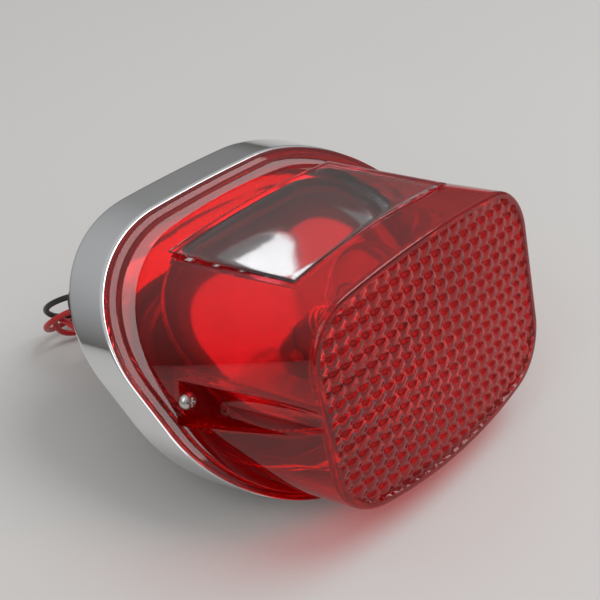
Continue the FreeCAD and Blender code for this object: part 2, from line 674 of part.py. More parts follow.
def place_all():
    """Lean the light back to how it stands and put the middle of its footprint at the origin."""
    lean = Placement(Vector(0, 0, 0), Rotation(Vector(1, 0, 0), -size("lean_back")))
    rigid = list(finished)
    for obj in rigid:
        obj.Placement = lean * obj.Placement
    doc.recompute()
    bottom = min(obj.Shape.optimalBoundingBox(False, False).ZMin for obj in rigid)
    stand = Placement(Vector(0, 0, -bottom), Rotation()) * lean
    make_leads(stand)
    cords = finished[len(rigid):]
    for obj in rigid:
        obj.Placement = Placement(Vector(0, 0, -bottom), Rotation()) * obj.Placement
    doc.recompute()
    boxes = [obj.Shape.optimalBoundingBox(False, False) for obj in rigid]
    low = min(box.YMin for box in boxes)
    high = max(box.YMax for box in boxes)
    centre = Placement(Vector(0, -(low + high) / 2, 0), Rotation())
    for obj in rigid + cords:
        obj.Placement = centre * obj.Placement
    doc.recompute()
    print("stand: lens frame origin at y %.3f, z %.3f" % (-(low + high) / 2, -bottom))
    print("width %.1f depth %.1f height %.1f" % (
        max(box.XMax for box in boxes) - min(box.XMin for box in boxes), high - low,
        max(box.ZMax for box in boxes)))


def export_all():
    for obj in doc.Objects:
        bad = [state for state in obj.State if state in ("Invalid", "Error")]
        if bad:
            raise RuntimeError("%s is %s" % (obj.Label, bad))
    os.makedirs(PART_DIRECTORY, exist_ok=True)
    for obj in finished:
        shape = obj.Shape
        if shape.isNull() or not shape.isValid() or not shape.Solids:
            raise RuntimeError("%s has no valid solid" % obj.Label)
        shape.exportStep(os.path.join(PART_DIRECTORY, obj.Label + ".step"))
        print("%-24s solids %d volume %9.1f" % (obj.Label, len(shape.Solids), shape.Volume))


make_lens()
make_window()
make_gasket()
make_housing()
make_pad()
make_studs()
make_screws()
make_socket()
make_rivets()
make_dish()
make_plunger()
make_spring()
make_bulb()
make_grommet()
doc.recompute()
place_all()
export_all()
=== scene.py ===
"""Looks of the motorcycle tail light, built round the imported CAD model."""

import json
import math

import bmesh
import bpy
import numpy as np
from mathutils import Matrix, Vector, geometry


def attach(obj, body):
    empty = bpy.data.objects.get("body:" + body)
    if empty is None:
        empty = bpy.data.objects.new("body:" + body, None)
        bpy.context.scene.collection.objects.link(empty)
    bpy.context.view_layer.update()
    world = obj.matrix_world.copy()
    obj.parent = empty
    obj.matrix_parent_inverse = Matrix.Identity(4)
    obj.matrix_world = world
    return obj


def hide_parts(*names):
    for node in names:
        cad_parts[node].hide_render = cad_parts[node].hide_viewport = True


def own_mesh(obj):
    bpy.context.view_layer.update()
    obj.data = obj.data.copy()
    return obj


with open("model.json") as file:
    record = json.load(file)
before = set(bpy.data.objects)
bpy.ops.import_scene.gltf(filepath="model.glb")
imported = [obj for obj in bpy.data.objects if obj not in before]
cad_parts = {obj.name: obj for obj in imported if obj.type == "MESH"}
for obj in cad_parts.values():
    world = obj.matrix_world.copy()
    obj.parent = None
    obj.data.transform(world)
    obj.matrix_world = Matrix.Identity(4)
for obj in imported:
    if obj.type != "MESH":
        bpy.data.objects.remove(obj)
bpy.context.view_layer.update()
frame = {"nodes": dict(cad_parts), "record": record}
JOINTS = {joint["name"]: joint for joint in frame["record"]["behaviour"]["joints"]}

MM = 0.001
LENS_ORIGIN = Vector(JOINTS["lens_slide"]["pos_m"])
LEAN_BACK = math.radians(15)
BASE_SLOPE = math.radians(42)
BASE_PLANE_Y = 48.9

# Lens frame: millimetres, origin at the middle of the lens face, +Y back into the light, +Z up the face.
# Base frame: its XZ plane is where the lens flange meets the housing, and +Y points out of the back.
LENS_FRAME = Matrix.Translation(LENS_ORIGIN) @ Matrix.Rotation(-LEAN_BACK, 4, "X") @ Matrix.Scale(MM, 4)
BASE_FRAME = LENS_FRAME @ Matrix.Translation((0, BASE_PLANE_Y, 0)) @ Matrix.Rotation(-BASE_SLOPE, 4, "X")
SOCKET_HEIGHT = -6.0
SOCKET_FRAME = BASE_FRAME @ Matrix.Translation((0, 0, SOCKET_HEIGHT))

# Outlines: half width, then edge, arc and corner radius at the top and at the bottom
FACE = (48.0, (35.6, 250.0, 17.0), (35.0, 165.0, 18.0))
REAR = (73.0, (38.8, 400.0, 57.0), (35.5, 150.0, 44.0))
FLANGE = (64.0, (56.0, 600.0, 44.0), (50.2, 95.0, 42.0))
REAR_DEPTH = 100.0
FACE_BULGE = 640.0
LENS_WALL = 2.8
FACE_WALL = 3.2
EDGE_ROUND = 0.9
PITCH = 4.5
PILLOW_RADIUS = 4.6
PILLOW_SINK = 0.25
BORDER = 2.0

SCREW_X, SCREW_Z, SEAT_Y = 57.0, 4.2, 45.5
CHANNEL_START_Y, CHANNEL_START_X = -2.0, 52.6
CHANNEL_START_RADIUS, CHANNEL_WIDENING = 5.2, 1.8


# ---------------------------------------------------------------- mesh helpers

def new_object(name, verts, faces, matrix, body, material, sharp=35):
    """Mesh object with its points moved into the row frame, smooth but for edges over the sharp angle."""
    mesh = bpy.data.meshes.new(name)
    mesh.from_pydata([tuple(v) for v in verts], [], faces)
    mesh.transform(matrix)
    shape = bmesh.new()
    shape.from_mesh(mesh)
    bmesh.ops.remove_doubles(shape, verts=shape.verts, dist=1e-7)
    bmesh.ops.recalc_face_normals(shape, faces=shape.faces)
    shape.to_mesh(mesh)
    shape.free()
    mesh.shade_smooth()
    mesh.set_sharp_from_angle(angle=math.radians(sharp))
    obj = bpy.data.objects.new(name, mesh)
    bpy.context.scene.collection.objects.link(obj)
    if material:
        mesh.materials.append(material)
    if body:
        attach(obj, body)
    return obj


def skin(rows, closed=True):
    """Vertices and quads between successive rows of equal length."""
    count = len(rows[0])
    verts = [point for row in rows for point in row]
    faces = []
    for r in range(len(rows) - 1):
        for i in range(count if closed else count - 1):
            j = (i + 1) % count
            faces.append((r * count + i, r * count + j, (r + 1) * count + j, (r + 1) * count + i))
    return verts, faces


def lathe(name, profile, matrix, body, material, steps=64, sharp=30):
    """Piece turned about local Y from (radius, y) points; a point at radius 0 closes an end."""
    rows = []
    for radius, y in profile:
        radius = max(radius, 1e-4)
        rows.append([(radius * math.cos(a), y, radius * math.sin(a))
                     for a in np.linspace(0, 2 * math.pi, steps, endpoint=False)])
    verts, faces = skin(rows)
    if profile[0][0] == 0:
        faces.append(tuple(range(steps)))
    if profile[-1][0] == 0:
        faces.append(tuple(range(len(verts) - steps, len(verts))))
    return new_object(name, verts, faces, matrix, body, material, sharp)


def carve(target, cutters, operation="DIFFERENCE"):
    """Apply boolean operations and drop the cutters."""
    for cutter in cutters:
        modifier = target.modifiers.new("cut", "BOOLEAN")
        modifier.object = cutter
        modifier.operation = operation
        modifier.solver = "EXACT"
    graph = bpy.context.evaluated_depsgraph_get()
    mesh = bpy.data.meshes.new_from_object(target.evaluated_get(graph))
    target.modifiers.clear()
    if not mesh.polygons:
        raise RuntimeError("nothing is left of " + target.name)
    target.data = mesh
    for cutter in cutters:
        bpy.data.objects.remove(cutter)


def corner_centre(half, edge, arc, corner):
    """Centre of the corner arc that meets both the side and the shallow arc."""
    centre_x = half - corner
    return centre_x, edge - arc + math.sqrt((arc - corner) ** 2 - centre_x ** 2)


def outline(spec, inset=0.0, long_steps=48, short_steps=40):
    """Points (x, z) once round an outline: two shallow arcs, two sides and four round corners."""
    half, top, low = spec
    quarter = []
    for sign, (edge, arc, corner) in ((1, top), (-1, low)):
        cx, cz = corner_centre(half, edge, arc, corner)
        across = math.atan2(cx, cz - (edge - arc))
        middle_arc = [(arc - inset) * np.array([math.sin(a), math.cos(a)]) + (0, edge - arc)
                      for a in np.linspace(0, across, long_steps // 2 + 1)]
        turn = [(corner - inset) * np.array([math.sin(a), math.cos(a)]) + (cx, cz)
                for a in np.linspace(across, math.pi / 2, short_steps + 1)]
        points = middle_arc + turn[1:]
        quarter.append([(x, sign * z) for x, z in points])
    upper, lower = quarter[0], quarter[1][::-1]
    side = [tuple(np.array(upper[-1]) * (1 - t) + np.array(lower[0]) * t)
            for t in np.linspace(0, 1, short_steps + 1)[1:-1]]
    right = upper + side + lower
    left = [(-x, z) for x, z in right[-2:0:-1]]
    return np.array(right + left)


def sag(x):
    """How far the bulged lens face falls back at x."""
    return FACE_BULGE - np.sqrt(FACE_BULGE ** 2 - x ** 2)


class Wall:
    """Ruled wall of the lens, from the face outline back to the rear outline."""

    def __init__(self, inset):
        self.front = outline(FACE, inset)
        self.step = (outline(REAR, inset) - self.front) / REAR_DEPTH

    def at(self, y):
        """Row of points at depth y, one depth for each point round the outline."""
        flat = self.front + self.step * y[:, None]
        return np.column_stack([flat[:, 0], y, flat[:, 1]])

    def to_base(self, offset):
        """Depth at which each point meets the base plane moved back by the offset."""
        slope = math.tan(BASE_SLOPE)
        return (BASE_PLANE_Y + offset + slope * self.front[:, 1]) / (1 - slope * self.step[:, 1])


def on_base(inset, offset):
    """Flange outline in the slanted plane, moved back along the lens frame's Y."""
    flat = outline(FLANGE, inset)
    c, s = math.cos(BASE_SLOPE), math.sin(BASE_SLOPE)
    return np.column_stack([flat[:, 0], BASE_PLANE_Y + offset + flat[:, 1] * s, flat[:, 1] * c])


def fill_outline(border, spacing, height):
    """Triangles inside a closed border on a square grid; height gives y at arrays of x and z."""
    border = np.asarray(border)
    xs = np.arange(-60, 60.01, spacing)
    grid = np.array([(x, z) for x in xs for z in xs])
    following = np.roll(border, -1, axis=0)
    inside = np.zeros(len(grid), bool)
    near = np.full(len(grid), np.inf)
    for (ax, az), (bx, bz) in zip(border, following):
        crosses = (az > grid[:, 1]) != (bz > grid[:, 1])
        if az != bz:
            inside ^= crosses & (grid[:, 0] < (bx - ax) * (grid[:, 1] - az) / (bz - az) + ax)
        along = np.array([bx - ax, bz - az])
        t = np.clip(((grid - (ax, az)) @ along) / (along @ along), 0, 1)
        near = np.minimum(near, np.hypot(*(grid - (ax, az) - t[:, None] * along).T))
    grid = grid[inside & (near > spacing * 0.35)]
    count = len(border)
    points = [Vector(p) for p in np.vstack([border, grid])]
    edges = [(i, (i + 1) % count) for i in range(count)]
    flat, _, triangles, *_ = geometry.delaunay_2d_cdt(points, edges, [], 1, 1e-6)
    flat = np.array([(p.x, p.y) for p in flat])
    y = height(flat[:, 0], flat[:, 1])
    y[:count] = sag(flat[:count, 0])
    return flat, y, triangles


def pillows(x, z):
    """Depth of the waffle face: square cushions cut from spheres."""
    dx = x - np.round(x / PITCH) * PITCH
    dz = z - np.round(z / PITCH) * PITCH
    drop = PILLOW_RADIUS - np.sqrt(PILLOW_RADIUS ** 2 - dx ** 2 - dz ** 2)
    return sag(x) + PILLOW_SINK + drop


def add_patch(verts, faces, flat, y, triangles):
    """Append triangles over flat (x, z) points, with their depths, to a mesh being built."""
    start = len(verts)
    verts.extend((a, b, c) for (a, c), b in zip(flat, y))
    faces.extend(tuple(start + i for i in tri) for tri in triangles)


# ---------------------------------------------------------------- materials

def material(name, colour, metallic=0.0, roughness=0.4, **more):
    """Principled material and a texture coordinate node; returns them with its node tree."""
    mat = bpy.data.materials.new(name)
    mat.use_nodes = True
    nodes, links = mat.node_tree.nodes, mat.node_tree.links
    shader = nodes["Principled BSDF"]
    shader.inputs["Base Color"].default_value = (*colour, 1)
    shader.inputs["Metallic"].default_value = metallic
    shader.inputs["Roughness"].default_value = roughness
    for key, value in more.items():
        shader.inputs[key.replace("_", " ")].default_value = value
    coords = nodes.new("ShaderNodeTexCoord")
    return mat, nodes, links, shader, coords


def noise(nodes, links, coords, scale, detail=4.0):
    """Noise over object coordinates."""
    texture = nodes.new("ShaderNodeTexNoise")
    texture.inputs["Scale"].default_value = scale
    texture.inputs["Detail"].default_value = detail
    links.new(coords.outputs["Object"], texture.inputs["Vector"])
    return texture


def ramp(nodes, links, source, low, high):
    """Map 0..1 to low..high."""
    mapping = nodes.new("ShaderNodeMapRange")
    mapping.inputs["To Min"].default_value = low
    mapping.inputs["To Max"].default_value = high
    links.new(source, mapping.inputs["Value"])
    return mapping.outputs["Result"]


def tint(nodes, links, source, dark, light):
    """Map 0..1 to a colour between dark and light."""
    colours = nodes.new("ShaderNodeValToRGB")
    colours.color_ramp.elements[0].color = (*dark, 1)
    colours.color_ramp.elements[1].color = (*light, 1)
    links.new(source, colours.inputs["Fac"])
    return colours.outputs["Color"]


def bump(nodes, links, source, shader, strength, distance):
    """Turn a height into the shader's normal."""
    node = nodes.new("ShaderNodeBump")
    node.inputs["Strength"].default_value = strength
    node.inputs["Distance"].default_value = distance
    links.new(source, node.inputs["Height"])
    links.new(node.outputs["Normal"], shader.inputs["Normal"])


def simple(name, dark, light, metallic, rough_low, rough_high, scale, bump_size=0.0, **more):
    """Material whose colour and roughness drift with noise, with optional fine bump."""
    mat, nodes, links, shader, coords = material(name, light, metallic, rough_low, **more)
    texture = noise(nodes, links, coords, scale)
    links.new(tint(nodes, links, texture.outputs["Fac"], dark, light), shader.inputs["Base Color"])
    links.new(ramp(nodes, links, texture.outputs["Fac"], rough_low, rough_high), shader.inputs["Roughness"])
    if bump_size:
        fine = noise(nodes, links, coords, scale * 4)
        bump(nodes, links, fine.outputs["Fac"], shader, 0.4, bump_size)
    return mat


def let_light_through(mat, colour):
    """Shadow rays pass through a clear plastic, tinted, so that it doesn't throw a black shadow."""
    nodes, links = mat.node_tree.nodes, mat.node_tree.links
    out = nodes["Material Output"]
    shader = nodes["Principled BSDF"]
    path = nodes.new("ShaderNodeLightPath")
    clear = nodes.new("ShaderNodeBsdfTransparent")
    clear.inputs["Color"].default_value = (*colour, 1)
    mix = nodes.new("ShaderNodeMixShader")
    links.new(path.outputs["Is Shadow Ray"], mix.inputs["Fac"])
    links.new(shader.outputs["BSDF"], mix.inputs[1])
    links.new(clear.outputs["BSDF"], mix.inputs[2])
    links.new(mix.outputs["Shader"], out.inputs["Surface"])


def red_plastic():
    """Deep red clear plastic with faint flow marks."""
    mat, nodes, links, shader, coords = material(
        "red_plastic", (0.66, 0.003, 0.007), 0.0, 0.035, IOR=1.49, Transmission_Weight=0.92)
    flow = noise(nodes, links, coords, 45.0, 2.0)
    links.new(tint(nodes, links, flow.outputs["Fac"], (0.61, 0.002, 0.005), (0.70, 0.005, 0.009)),
              shader.inputs["Base Color"])
    links.new(ramp(nodes, links, flow.outputs["Fac"], 0.02, 0.06), shader.inputs["Roughness"])
    bump(nodes, links, flow.outputs["Fac"], shader, 0.25, 0.0004)
    let_light_through(mat, (0.78, 0.05, 0.1))
    return mat


def clear_plastic(name, colour, roughness, wave):
    """Clear plastic or glass with faint flow marks."""
    mat, nodes, links, shader, coords = material(
        name, colour, 0.0, roughness, IOR=1.49, Transmission_Weight=1.0)
    flow = noise(nodes, links, coords, 60.0, 2.0)
    links.new(ramp(nodes, links, flow.outputs["Fac"], roughness, roughness * 2), shader.inputs["Roughness"])
    bump(nodes, links, flow.outputs["Fac"], shader, 0.2, wave)
    let_light_through(mat, (0.93, 0.93, 0.94))
    return mat


RED = red_plastic()
CLEAR = clear_plastic("window_plastic", (0.97, 0.97, 0.98), 0.03, 0.0003)
GLASS = clear_plastic("bulb_glass", (0.98, 0.99, 0.99), 0.01, 0.0001)
CHROME = simple("chrome", (0.72, 0.73, 0.74), (0.80, 0.81, 0.82), 1.0, 0.045, 0.10, 40.0)
MIRROR = simple("reflector_plating", (0.26, 0.26, 0.26), (0.34, 0.34, 0.34), 1.0, 0.08, 0.16, 60.0)
RUBBER = simple("black_rubber", (0.012, 0.012, 0.012), (0.03, 0.03, 0.03), 0.0, 0.6, 0.8, 400.0, 0.0002)
ZINC = simple("zinc_steel", (0.48, 0.48, 0.47), (0.66, 0.66, 0.64), 1.0, 0.18, 0.34, 500.0, 0.00003)
STEEL = simple("dull_steel", (0.38, 0.37, 0.35), (0.55, 0.54, 0.5), 1.0, 0.28, 0.45, 300.0, 0.00004)
BRASS = simple("brass", (0.55, 0.38, 0.14), (0.74, 0.55, 0.24), 1.0, 0.2, 0.38, 300.0, 0.00003)
SOLDER = simple("solder", (0.4, 0.4, 0.41), (0.6, 0.6, 0.6), 1.0, 0.3, 0.5, 900.0, 0.00005)
BAKELITE = simple("bakelite", (0.05, 0.02, 0.012), (0.12, 0.05, 0.03), 0.0, 0.35, 0.5, 300.0, 0.00003)
TUNGSTEN = simple("tungsten", (0.16, 0.16, 0.17), (0.3, 0.3, 0.32), 1.0, 0.35, 0.5, 800.0)
RED_PVC = simple("red_insulation", (0.42, 0.008, 0.01), (0.6, 0.02, 0.02), 0.0, 0.25, 0.38, 500.0, 0.00003)
BLACK_PVC = simple("black_insulation", (0.008, 0.008, 0.009), (0.02, 0.02, 0.021), 0.0, 0.25, 0.38, 500.0,
                   0.00003)


# ---------------------------------------------------------------- camera, light and floor

def make_camera():
    """Camera above and to the left of the front, looking down at the light."""
    azimuth, elevation = math.radians(-48.28), math.radians(36.17)
    aim = LENS_ORIGIN + Vector((-30.0, 27.4, 20.3)) * MM
    away = Vector((math.sin(azimuth) * math.cos(elevation), -math.cos(azimuth) * math.cos(elevation),
                   math.sin(elevation)))
    data = bpy.data.cameras.new("camera")
    data.sensor_width = 36
    data.lens = 67.76
    data.clip_start = 0.01
    camera = bpy.data.objects.new("camera", data)
    camera.location = aim + away * 0.3
    camera.rotation_mode = "QUATERNION"
    camera.rotation_quaternion = (-away).to_track_quat("-Z", "Y")
    bpy.context.scene.collection.objects.link(camera)
    bpy.context.scene.camera = camera


def make_area(name, position, target, size, power):
    """Round white area light aimed at the target."""
    data = bpy.data.lights.new(name, "AREA")
    data.shape = "DISK"
    data.size = size
    data.energy = power
    light = bpy.data.objects.new(name, data)
    light.location = position
    light.rotation_mode = "QUATERNION"
    light.rotation_quaternion = (Vector(target) - Vector(position)).to_track_quat("-Z", "Y")
    bpy.context.scene.collection.objects.link(light)


def make_world():
    """Soft room: bright overhead and dimmer towards the horizon."""
    world = bpy.data.worlds.new("studio")
    world.use_nodes = True
    nodes, links = world.node_tree.nodes, world.node_tree.links
    background = nodes["Background"]
    coords = nodes.new("ShaderNodeTexCoord")
    split = nodes.new("ShaderNodeSeparateXYZ")
    links.new(coords.outputs["Generated"], split.inputs["Vector"])
    colours = nodes.new("ShaderNodeValToRGB")
    stops = colours.color_ramp
    stops.elements[0].position = 0.0
    stops.elements[0].color = (0.22, 0.21, 0.20, 1)
    stops.elements[1].position = 1.0
    stops.elements[1].color = (1.0, 1.0, 1.0, 1)
    for position, level in ((0.3, 0.55), (0.6, 0.93)):
        stops.elements.new(position).color = (level, level, level, 1)
    links.new(split.outputs["Z"], colours.inputs["Fac"])
    links.new(colours.outputs["Color"], background.inputs["Color"])
    background.inputs["Strength"].default_value = 0.58
    bpy.context.scene.world = world


def make_floor():
    """Pale matt table top."""
    mat = simple("floor", (0.60, 0.59, 0.575), (0.64, 0.63, 0.615), 0.0, 0.5, 0.6, 3.0)
    reach = 3.0
    verts = [(-reach, -reach, 0), (reach, -reach, 0), (reach, reach, 0), (-reach, reach, 0)]
    floor = new_object("floor", verts, [(0, 1, 2, 3)], Matrix.Identity(4), None, mat)


def make_studio():
    """Camera, world, floor, two soft lamps and the render's quality settings."""
    make_camera()
    make_world()
    make_floor()
    make_area("key", (0.55, -0.35, 1.1), (0, 0, 0.03), 0.9, 7.0)
    make_area("fill", (-0.9, -0.2, 0.9), (0, 0, 0.03), 1.0, 3.0)
    scene = bpy.context.scene
    scene.view_settings.view_transform = "Standard"
    scene.cycles.use_denoising = True
    scene.cycles.max_bounces = 16
    scene.cycles.transmission_bounces = 14
    scene.cycles.glossy_bounces = 8
    scene.cycles.transparent_max_bounces = 16
    scene.cycles.sample_clamp_indirect = 6.0


# ---------------------------------------------------------------- leads

# Routes seen from above the table: X right, Y back from the lens frame's origin, Z above the table
LEAD_ROUTES = {
    "red_lead": [(-19, 73, 4), (-31, 95, 3), (-38, 114, 13), (-40, 130, 16), (-37, 132, 3),
                 (-24, 127, 2), (-15, 112.5, 2), (-25, 107, 17), (-35.5, 119, 22), (-45, 129, 13.5),
                 (-37, 136.5, 2.5), (-14, 138, 3), (8, 133, 2.5)],
    "black_lead": [(-10, 76, 4), (-24, 98, 12.5), (-33, 118.5, 27), (-42, 134, 17), (-33, 137, 5.5),
                   (-19, 130.5, 6.5), (-6, 116, 10), (-19, 103, 26.5), (-34, 120.5, 33),
                   (-41, 119.5, 23), (-32.5, 116.5, 8), (-12.5, 117, 5.5), (8, 115, 4)],
}
LEAD_RADIUS = 1.0


def make_plug(name, node, tip, ahead):
    """Bullet connector: a brass barrel and round bullet, partly under a black sleeve."""
    turn = ahead.to_track_quat("Y", "Z").to_matrix().to_4x4()
    place = Matrix.Translation(tip) @ turn @ Matrix.Scale(MM, 4)
    bullet = [(0, 0.1), (1.25, 0.1), (1.5, 0.5), (1.5, 3.2), (1.3, 3.6), (1.5, 4.0), (1.5, 11.2),
              (1.2, 11.5), (1.2, 12.2), (1.55, 12.6), (1.6, 14.0), (1.35, 15.2), (0.7, 15.8), (0, 15.9)]
    plug = lathe(name, bullet, place, "housing", BRASS, 32)
    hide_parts(node)
    tube = [(0, 2.2), (1.9, 2.2), (2.0, 2.5), (2.0, 10.6), (1.9, 10.9), (0, 10.9)]
    sleeve = lathe(name + "_sleeve", tube, place, "housing", RUBBER, 32)
    return [plug, sleeve]


def make_leads():
    """Both leads along their routes, each ending in its bullet plug."""
    for side, name, mat, slot in ((-1, "red_lead", RED_PVC, "red_insulation"),
                                  (1, "black_lead", BLACK_PVC, "black_insulation")):
        start = SOCKET_FRAME @ Vector((side * 1.6, 13.4, 0))
        outside = SOCKET_FRAME @ Vector((side * 1.6, 26.0, 0))
        table = [Vector((x * MM, y * MM + LENS_ORIGIN.y, z * MM)) for x, y, z in LEAD_ROUTES[name]]
        points = [start, outside] + table
        curve = bpy.data.curves.new(name + "_wire", "CURVE")
        curve.dimensions = "3D"
        curve.bevel_depth = LEAD_RADIUS * MM
        curve.bevel_resolution = 5
        curve.use_fill_caps = True
        curve.resolution_u = 16
        spline = curve.splines.new("NURBS")
        spline.points.add(len(points) - 1)
        for point, place in zip(spline.points, points):
            point.co = (*place, 1)
        spline.order_u = 3
        spline.use_endpoint_u = True
        spline.use_smooth = True
        curve.materials.append(mat)
        lead = bpy.data.objects.new(name + "_wire", curve)
        bpy.context.scene.collection.objects.link(lead)
        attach(lead, "housing")
        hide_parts(name)
        plug_node = name.replace("lead", "bullet_plug")
        ahead = (table[-1] - table[-2]).normalized()
        pieces = make_plug(plug_node + "_detail", plug_node, table[-1], ahead)


# ---------------------------------------------------------------- lens

def rim_rows():
    """Rows from the plain border of the face, round its edge, to the start of the side."""
    rows = []
    for inset in (BORDER, BORDER - 0.1, 1.4):
        flat = outline(FACE, inset)
        rows.append(np.column_stack([flat[:, 0], sag(flat[:, 0]), flat[:, 1]]))
    for angle in np.radians([90, 70, 50, 30, 10]):
        inset = EDGE_ROUND * (1 - math.cos(angle))
        depth = EDGE_ROUND * (1 - math.sin(angle))
        flat = outline(FACE, inset)
        rows.append(np.column_stack([flat[:, 0], sag(flat[:, 0]) + depth, flat[:, 1]]))
    return rows


def channel(y):
    """Distance of a screw channel's axis from the middle, and its radius, at depth y."""
    share = (y - CHANNEL_START_Y) / (SEAT_Y - CHANNEL_START_Y)
    centre = CHANNEL_START_X + (SCREW_X - CHANNEL_START_X) * share
    return centre, CHANNEL_START_RADIUS + CHANNEL_WIDENING * share


def channel_limit(y, z, extra):
    """Largest |x| left by the screw channel's cone, grown by the extra radius."""
    centre, radius = channel(y)
    radius = radius + extra
    reach = np.sqrt(np.clip(radius ** 2 - (z - SCREW_Z) ** 2, 0, None))
    return np.where((reach > 0) & (y < SEAT_Y + 3.0), centre - reach, 1e3)


def side_rows(wall, start, end, count, extra=None):
    """Rows along the wall; extra keeps an inner wall that far clear of the screw channels."""
    rows = []
    for share in np.linspace(0, 1, count):
        row = wall.at(start + (end - start) * share)
        if extra is not None:
            limit = channel_limit(row[:, 1], row[:, 2], extra)
            row[:, 0] = np.sign(row[:, 0]) * np.minimum(np.abs(row[:, 0]), limit)
        rows.append(row)
    return rows


def frustum(name, side):
    """Cutter for one screw channel."""
    rows = []
    steps = 72
    for y in (CHANNEL_START_Y, SEAT_Y):
        centre, radius = channel(y)
        rows.append([(side * centre + radius * math.cos(a), y, SCREW_Z + radius * math.sin(a))
                     for a in np.linspace(0, 2 * math.pi, steps, endpoint=False)])
    verts, faces = skin(rows)
    faces += [tuple(range(steps)), tuple(range(steps, 2 * steps))]
    return new_object(name, verts, faces, LENS_FRAME, None, RED)


def bar(name, centre, radius, start, end, mat, body=None, steps=48):
    """Round bar along the lens frame's Y."""
    place = LENS_FRAME @ Matrix.Translation((centre[0], 0, centre[1]))
    return lathe(name, [(0, start), (radius, start), (radius, end), (0, end)], place, body, mat, steps)


WINDOW = {"front_y": 17.9, "back_y": 66.0, "front_half": 33.4, "back_half": 35.0}


def window_half(y):
    """Half width of the window at depth y."""
    depths = (WINDOW["front_y"], WINDOW["back_y"])
    return np.interp(y, depths, (WINDOW["front_half"], WINDOW["back_half"]))


def window_cutter():
    """Cutter for the window's opening in the top of the lens."""
    corners = [(-WINDOW["front_half"], WINDOW["front_y"]), (WINDOW["front_half"], WINDOW["front_y"]),
               (WINDOW["back_half"], WINDOW["back_y"]), (-WINDOW["back_half"], WINDOW["back_y"])]
    rows = [[(x, y, z) for x, y in corners] for z in (25, 60)]
    verts, faces = skin(rows)
    faces += [(0, 1, 2, 3), (4, 5, 6, 7)]
    return new_object("window_cutter", verts, faces, LENS_FRAME, None, RED)


# Lens flange, from the body outwards: a step, the lip that covers the chrome rim, and the plug inside it
FLANGE_PROFILE = (
    (2.6, -4.4), (2.3, -4.3), (2.2, -4.0), (2.2, -2.9), (2.0, -2.5), (1.7, -2.4), (0.1, -2.4), (-0.2, -2.3),
    (-0.4, -2.0), (-0.4, -0.35), (-0.3, -0.15), (0.9, -0.15), (1.0, 0.0), (1.0, 0.8), (1.2, 1.0),
)


def open_window_edges(lens):
    """Drop the cut walls of the window opening, because the window is moulded onto them."""
    shape = bmesh.new()
    shape.from_mesh(lens.data)
    back = LENS_FRAME.inverted()
    walls = []
    for face in shape.faces:
        x, y, z = back @ face.calc_center_median()
        if z < 30 or not WINDOW["front_y"] - 0.1 < y < WINDOW["back_y"] + 0.1:
            continue
        half = window_half(y)
        at_side = abs(abs(x) - half) < 0.01
        at_end = min(abs(y - WINDOW["front_y"]), abs(y - WINDOW["back_y"])) < 0.01 and abs(x) < half + 0.1
        if at_side or at_end:
            walls.append(face)
    bmesh.ops.delete(shape, geom=walls, context="FACES_ONLY")
    shape.to_mesh(lens.data)
    shape.free()


def make_lens():
    """Lens shell: waffle face, ruled side, flange and inner wall, less the screw channels and window."""
    outer, inner = Wall(0.0), Wall(LENS_WALL)
    rows = rim_rows()
    start = sag(outer.front[:, 0]) + EDGE_ROUND
    rows += side_rows(outer, start, outer.to_base(-4.4), 70)
    rows += [on_base(inset, offset) for inset, offset in FLANGE_PROFILE]
    front = sag(inner.front[:, 0]) + FACE_WALL
    rows += side_rows(inner, inner.to_base(1.0), front, 110, extra=2.0)
    verts, faces = skin(rows)
    border = [(x, z) for x, _, z in rows[0]]
    add_patch(verts, faces, *fill_outline(border, PITCH / 9, pillows))
    back_border = [(x, z) for x, _, z in rows[-1]]
    flat, y, triangles = fill_outline(back_border, 4.0, lambda x, z: sag(x) + FACE_WALL)
    y[:len(back_border)] = [p[1] for p in rows[-1]]
    add_patch(verts, faces, flat, y, triangles)
    lens = new_object("lens_shell", verts, faces, LENS_FRAME, None, RED, 30)
    carve(lens, [frustum("left_cut", -1), frustum("right_cut", 1), window_cutter()])
    open_window_edges(lens)
    lens.data.set_sharp_from_angle(angle=math.radians(28))
    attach(lens, "lens")
    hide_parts("tail_lens")


def top_height(x, y):
    """Height of the lens body's top over the middle, with its shallow crown."""
    share = y / REAR_DEPTH
    (face_edge, face_arc, _), (rear_edge, rear_arc, _) = FACE[1], REAR[1]
    face = face_edge - face_arc + np.sqrt(face_arc ** 2 - x ** 2)
    rear = rear_edge - rear_arc + np.sqrt(rear_arc ** 2 - x ** 2)
    return face * (1 - share) + rear * share


def make_window():
    """Clear window moulded into the lens, following its crown, with a bevelled rim standing proud."""
    rise, bevel = 0.8, 0.5
    u = np.linspace(0, 1, 44)
    v = np.linspace(0, 1, 32)

    def layer(inset, height):
        sheet = []
        for b in v:
            y = WINDOW["front_y"] + inset + b * (WINDOW["back_y"] - WINDOW["front_y"] - 2 * inset)
            half = window_half(y) - inset
            x = -half + 2 * half * u
            sheet.append(np.column_stack([x, np.full(len(u), y), top_height(x, y) + height]))
        return np.array(sheet)

    def ring(sheet):
        return np.vstack([sheet[0], sheet[1:-1, -1], sheet[-1][::-1], sheet[-2:0:-1, 0]])

    top, bottom = layer(bevel, rise), layer(0, -LENS_WALL)
    verts, faces = skin([ring(top), ring(layer(0.12, rise - 0.1)), ring(layer(0, rise - bevel)),
                         ring(layer(0, 0))])
    for sheet in (top, bottom):
        start = len(verts)
        more, quads = skin(sheet, closed=False)
        verts = verts + more
        faces += [tuple(start + i for i in quad) for quad in quads]
    window = new_object("window_plate", verts, faces, LENS_FRAME, "lens", CLEAR, 25)
    face_outwards(window)
    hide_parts("license_window")


